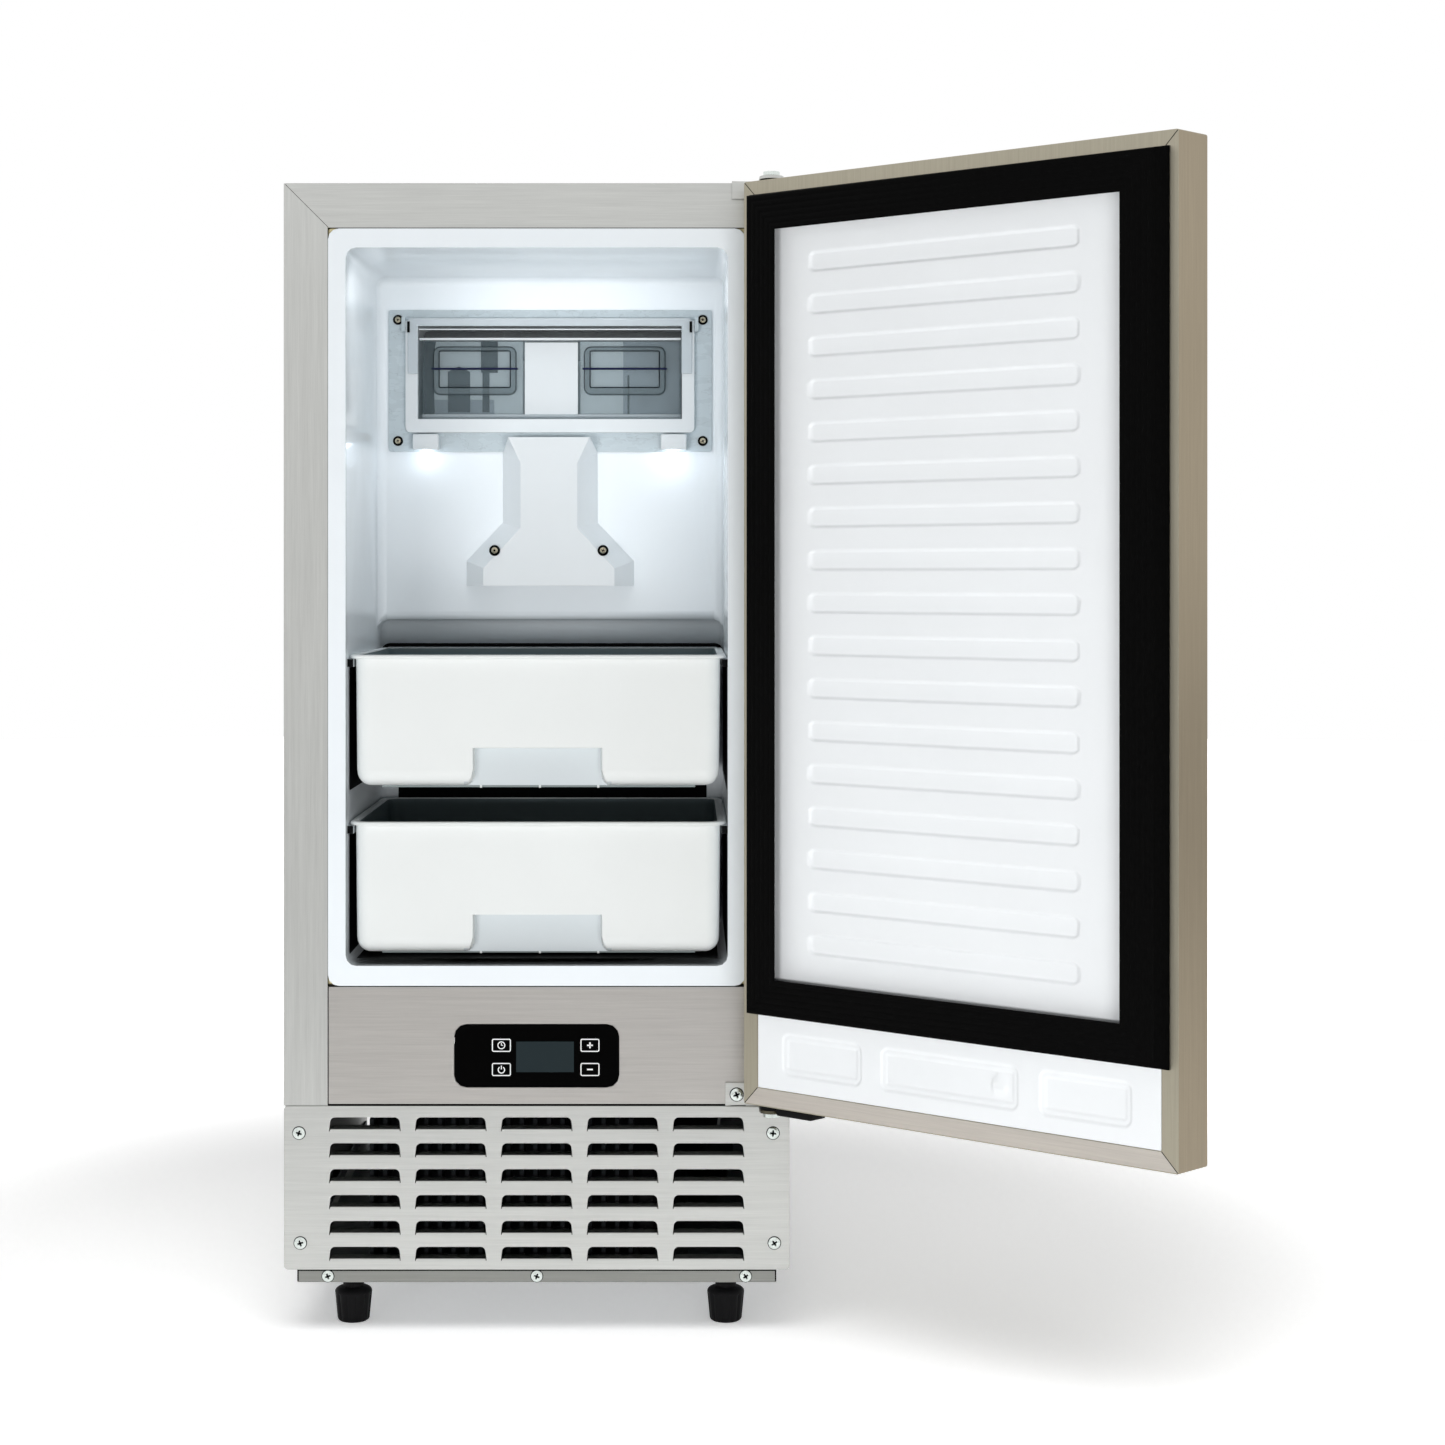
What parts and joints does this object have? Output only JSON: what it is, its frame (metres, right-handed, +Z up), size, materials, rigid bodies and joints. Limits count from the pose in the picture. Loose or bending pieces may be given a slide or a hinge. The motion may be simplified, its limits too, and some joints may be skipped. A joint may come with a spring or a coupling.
{
  "type": "undercounter nugget ice maker",
  "caption": "Undercounter nugget ice maker with its door open, white ice compartment, two pull-out bins, ice chute flap and louvered grille on levelling feet.",
  "frame": {"origin": "centre of the pressed plateau under the base pan", "axes": "+X to the right seen from the front, +Y from the front to the back, +Z up"},
  "size_m": [0.6483, 0.8743, 0.8719],
  "materials": {
    "brushed_stainless": "brushed stainless sheet",
    "galvanised_steel": "dull galvanised sheet",
    "white_moulding": "satin white moulding",
    "bin_white": "satin white moulding",
    "smoke_clear": "clear smoke moulding",
    "translucent_cap": "translucent moulding",
    "black_plastic": "matte black moulding",
    "display_black": "gloss black window",
    "gasket_rubber": "soft black extrusion",
    "insulation_foam": "rigid foam",
    "circuit_board": "solder mask",
    "copper_tube": "drawn copper",
    "aluminium": "as cast or rolled",
    "brass": "turned brass",
    "zinc_plated": "zinc plated steel",
    "black_paint": "black enamel"
  },
  "bodies": {
    "cabinet": {"base_pan": "galvanised_steel", "base_rail": "brushed_stainless", "side_panel_left": "brushed_stainless", "side_panel_right": "brushed_stainless", "top_panel": "brushed_stainless", "back_panel": "galvanised_steel", "rear_service_panel": "galvanised_steel", "cabinet_foam": "insulation_foam", "bulkhead": "galvanised_steel", "inner_liner": "white_moulding", "machine_deck": "galvanised_steel", "control_fascia": "brushed_stainless", "display_lens": "display_black", "display_board": "circuit_board", "front_grille": "brushed_stainless", "chute_plate": "white_moulding", "chute_duct": "white_moulding", "lamp_left": "white_moulding", "lamp_right": "white_moulding", "sensor_cover": "white_moulding", "evaporator_barrel": "aluminium", "evaporator_coil": "copper_tube", "outlet_head": "black_plastic", "gearbox": "aluminium", "gear_motor": "black_paint", "module_bracket": "galvanised_steel", "water_tank": "white_moulding", "control_box": "galvanised_steel", "compressor": "black_paint", "compressor_base": "black_paint", "condenser": "aluminium", "fan_shroud": "black_plastic", "fan_motor": "black_paint", "filter_drier": "copper_tube", "inlet_valve": "brass", "drain_outlet": "white_moulding", "cord_gland": "black_plastic", "hinge_bracket_top": "brushed_stainless", "hinge_bracket_bottom": "brushed_stainless", "hinge_pin_top": "zinc_plated", "hinge_pin_bottom": "zinc_plated"},
    "door": {"door_skin": "brushed_stainless", "door_foam": "insulation_foam", "door_liner": "white_moulding", "door_gasket": "gasket_rubber", "door_bush_top": "black_plastic", "door_bush_bottom": "black_plastic", "door_stop": "black_plastic"},
    "upper_bin": {"upper_bin": "bin_white"},
    "lower_bin": {"lower_bin": "bin_white"},
    "flap": {"flap_frame": "white_moulding", "flap_window": "smoke_clear", "flap_panel": "white_moulding", "flap_cap": "translucent_cap"},
    "auger": {"auger": "zinc_plated"},
    "fan": {"fan_blade": "black_plastic"},
    "foot_front_left": {"foot_front_left": "black_plastic"},
    "foot_front_right": {"foot_front_right": "black_plastic"},
    "foot_rear_left": {"foot_rear_left": "black_plastic"},
    "foot_rear_right": {"foot_rear_right": "black_plastic"}
  },
  "joints": [
    {"name": "door_hinge", "type": "hinge", "parent": "cabinet", "child": "door", "pos_m": [0.176, -0.3105, 0.4848], "axis": [0, 0, 1], "range_deg": [-137.4, 22.6]},
    {"name": "upper_bin_slide", "type": "slide", "parent": "cabinet", "child": "upper_bin", "axis": [0, -1, 0], "range_m": [0, 0.2]},
    {"name": "lower_bin_slide", "type": "slide", "parent": "cabinet", "child": "lower_bin", "axis": [0, -1, 0], "range_m": [0, 0.2]},
    {"name": "flap_hinge", "type": "hinge", "parent": "cabinet", "child": "flap", "pos_m": [0, -0.0661, 0.7428], "axis": [-1, 0, 0], "range_deg": [0, 45], "stiffness_Nm_per_rad": 0.025, "springref_deg": -29.79},
    {"name": "auger_spin", "type": "hinge", "parent": "cabinet", "child": "auger", "pos_m": [0, 0.0811, 0.6], "axis": [0, 0, 1], "continuous": true},
    {"name": "fan_spin", "type": "hinge", "parent": "cabinet", "child": "fan", "pos_m": [-0.028, -0.2172, 0.0628], "axis": [0, 1, 0], "continuous": true},
    {"name": "foot_front_left_screw", "type": "slide", "parent": "cabinet", "child": "foot_front_left", "axis": [0, 0, -1], "range_m": [0, 0.012]},
    {"name": "foot_front_right_screw", "type": "slide", "parent": "cabinet", "child": "foot_front_right", "axis": [0, 0, -1], "range_m": [0, 0.012]},
    {"name": "foot_rear_left_screw", "type": "slide", "parent": "cabinet", "child": "foot_rear_left", "axis": [0, 0, -1], "range_m": [0, 0.012]},
    {"name": "foot_rear_right_screw", "type": "slide", "parent": "cabinet", "child": "foot_rear_right", "axis": [0, 0, -1], "range_m": [0, 0.012]}
  ]
}
